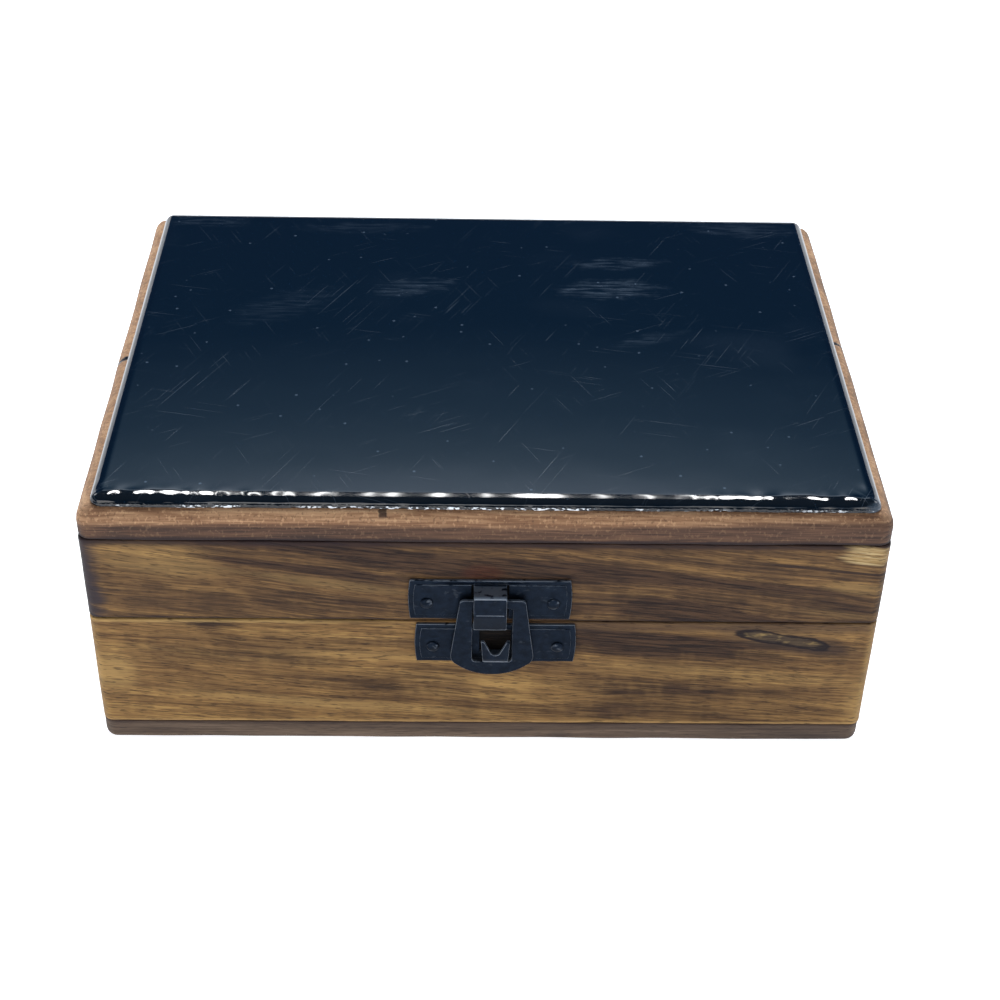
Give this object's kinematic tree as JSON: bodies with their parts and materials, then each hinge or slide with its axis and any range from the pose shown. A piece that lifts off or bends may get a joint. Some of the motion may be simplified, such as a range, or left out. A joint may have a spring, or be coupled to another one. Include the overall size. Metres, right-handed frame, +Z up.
{
  "type": "hinged playing card box",
  "caption": "Small rectangular wooden box with a hinged lid, a black lacquered top and a swinging hasp latch on the front.",
  "frame": {"origin": "centre of the flat underside, on the surface that the box stands on", "axes": "+Z up, +X to the right of someone facing the latch (the long side), +Y from the latch to the hinges"},
  "size_m": [0.15, 0.1195, 0.0584],
  "materials": {
    "torched_wood": "torched and oiled softwood boards, golden brown with dark streaks, satin",
    "lid_board_wood": "stained reddish brown board edge, open pores, satin",
    "dark_bottom_wood": "dark grey-brown stained board, matte",
    "black_lacquer": "poured black lacquer, high gloss, lightly scratched and dusty",
    "blackened_steel": "blackened sheet steel, blue-black, lighter on worn edges"
  },
  "bodies": {
    "base": {"bottom_board": "dark_bottom_wood", "base_front_wall": "torched_wood", "base_back_wall": "torched_wood", "base_left_wall": "torched_wood", "base_right_wall": "torched_wood", "hinge_left_base_leaf": "blackened_steel", "hinge_left_pin": "blackened_steel", "hinge_left_base_nail_left": "blackened_steel", "hinge_left_base_nail_right": "blackened_steel", "hinge_right_base_leaf": "blackened_steel", "hinge_right_pin": "blackened_steel", "hinge_right_base_nail_left": "blackened_steel", "hinge_right_base_nail_right": "blackened_steel", "catch_plate": "blackened_steel", "catch_plate_nail_left": "blackened_steel", "catch_plate_nail_right": "blackened_steel"},
    "lid": {"lid_front_rail": "torched_wood", "lid_back_rail": "torched_wood", "lid_left_rail": "torched_wood", "lid_right_rail": "torched_wood", "lid_board_front": "lid_board_wood", "lid_board_rear": "lid_board_wood", "lacquer_top": "black_lacquer", "hinge_left_lid_leaf": "blackened_steel", "hinge_left_lid_nail_left": "blackened_steel", "hinge_left_lid_nail_right": "blackened_steel", "hinge_right_lid_leaf": "blackened_steel", "hinge_right_lid_nail_left": "blackened_steel", "hinge_right_lid_nail_right": "blackened_steel", "hasp_plate": "blackened_steel", "hasp_plate_nail_left": "blackened_steel", "hasp_plate_nail_right": "blackened_steel"},
    "hasp": {"hasp_flap": "blackened_steel"}
  },
  "joints": [
    {"name": "lid_hinge", "type": "hinge", "parent": "base", "child": "lid", "pos_m": [0, 0.0577, 0.03135], "axis": [-1, 0, 0], "range_deg": [0, 180]},
    {"name": "hasp_swing", "type": "hinge", "parent": "lid", "child": "hasp", "pos_m": [0.00135, -0.0581, 0.0374], "axis": [-1, 0, 0], "range_deg": [0, 180]}
  ]
}
